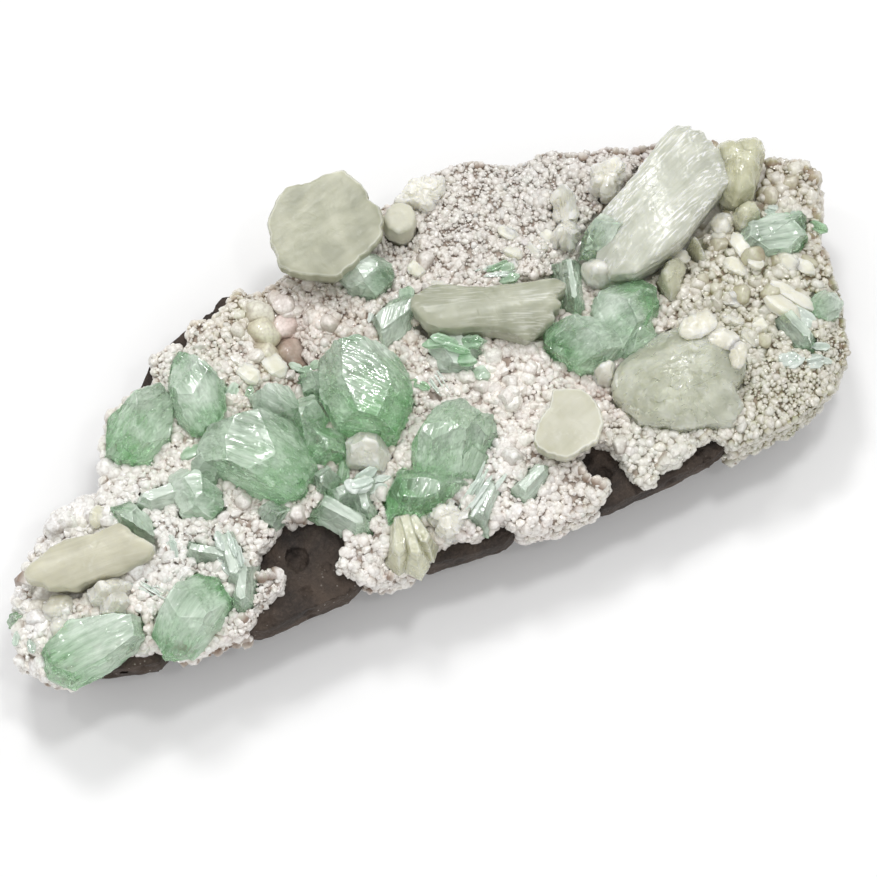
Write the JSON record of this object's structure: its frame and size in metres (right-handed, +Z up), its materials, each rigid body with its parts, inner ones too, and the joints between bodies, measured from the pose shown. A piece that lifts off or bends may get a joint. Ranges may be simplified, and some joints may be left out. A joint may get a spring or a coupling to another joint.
{
  "type": "mineral specimen of green apophyllite and cream stilbite on a heulandite-crusted basalt slab",
  "caption": "Hand-sized mineral specimen: mint-green apophyllite blocks and cream stilbite blades on a knobbly white heulandite crust over a flat-based basalt slab.",
  "frame": {"origin": "on the slab's flat broken base, under the middle of the crystal-bearing face", "axes": "+Z up through the crystal-bearing face; +X along the slab's long axis, away from its pointed end; +Y towards the side where the big stilbite plate stands out"},
  "size_m": [0.163, 0.0742, 0.0314],
  "materials": {
    "basalt": "rough broken rock with small gas bubbles",
    "heulandite": "granular off-white crust with darker crevices",
    "apophyllite": "glassy mint green with milky veils",
    "stilbite": "pearly translucent cream, finely ribbed"
  },
  "bodies": {
    "root": {"apophyllite_centre_block": "apophyllite", "apophyllite_corner_bead": "apophyllite", "apophyllite_corner_plate": "apophyllite", "apophyllite_east_ball": "apophyllite", "apophyllite_east_cluster": "apophyllite", "apophyllite_east_lath": "apophyllite", "apophyllite_east_spread": "apophyllite", "apophyllite_foot_lath_east": "apophyllite", "apophyllite_foot_lath_west": "apophyllite", "apophyllite_left_small": "apophyllite", "apophyllite_lower_cluster": "apophyllite", "apophyllite_lower_left": "apophyllite", "apophyllite_lower_west": "apophyllite", "apophyllite_middle_pale": "apophyllite", "apophyllite_neck_small": "apophyllite", "apophyllite_north_lath": "apophyllite", "apophyllite_pale_blades": "apophyllite", "apophyllite_pale_tangle": "apophyllite", "apophyllite_sheaf_back": "apophyllite", "apophyllite_stack_small": "apophyllite", "apophyllite_tie_lath": "apophyllite", "apophyllite_under_plate": "apophyllite", "apophyllite_waist_pale": "apophyllite", "apophyllite_west_block": "apophyllite", "apophyllite_west_tip": "apophyllite", "basalt_matrix": "basalt", "heulandite_crust": "heulandite", "stilbite_big_plate": "stilbite", "stilbite_bow_tie": "stilbite", "stilbite_clear_cream": "stilbite", "stilbite_cream_pair": "stilbite", "stilbite_dome": "stilbite", "stilbite_dome_knob": "stilbite", "stilbite_foot_fan": "stilbite", "stilbite_foot_plate": "stilbite", "stilbite_leaf": "stilbite", "stilbite_pearly_sheaf": "stilbite", "stilbite_plate_lobe": "stilbite", "stilbite_rim_plate": "stilbite", "stilbite_round_plate": "stilbite", "stilbite_sheaf_foot": "stilbite", "stilbite_white_oval": "stilbite", "stilbite_white_twin": "stilbite", "stilbite_yellow_block": "stilbite", "stilbite_yellow_knob": "stilbite", "stilbite_yellow_lower": "stilbite", "stilbite_yellow_middle": "stilbite"}
  },
  "joints": []
}
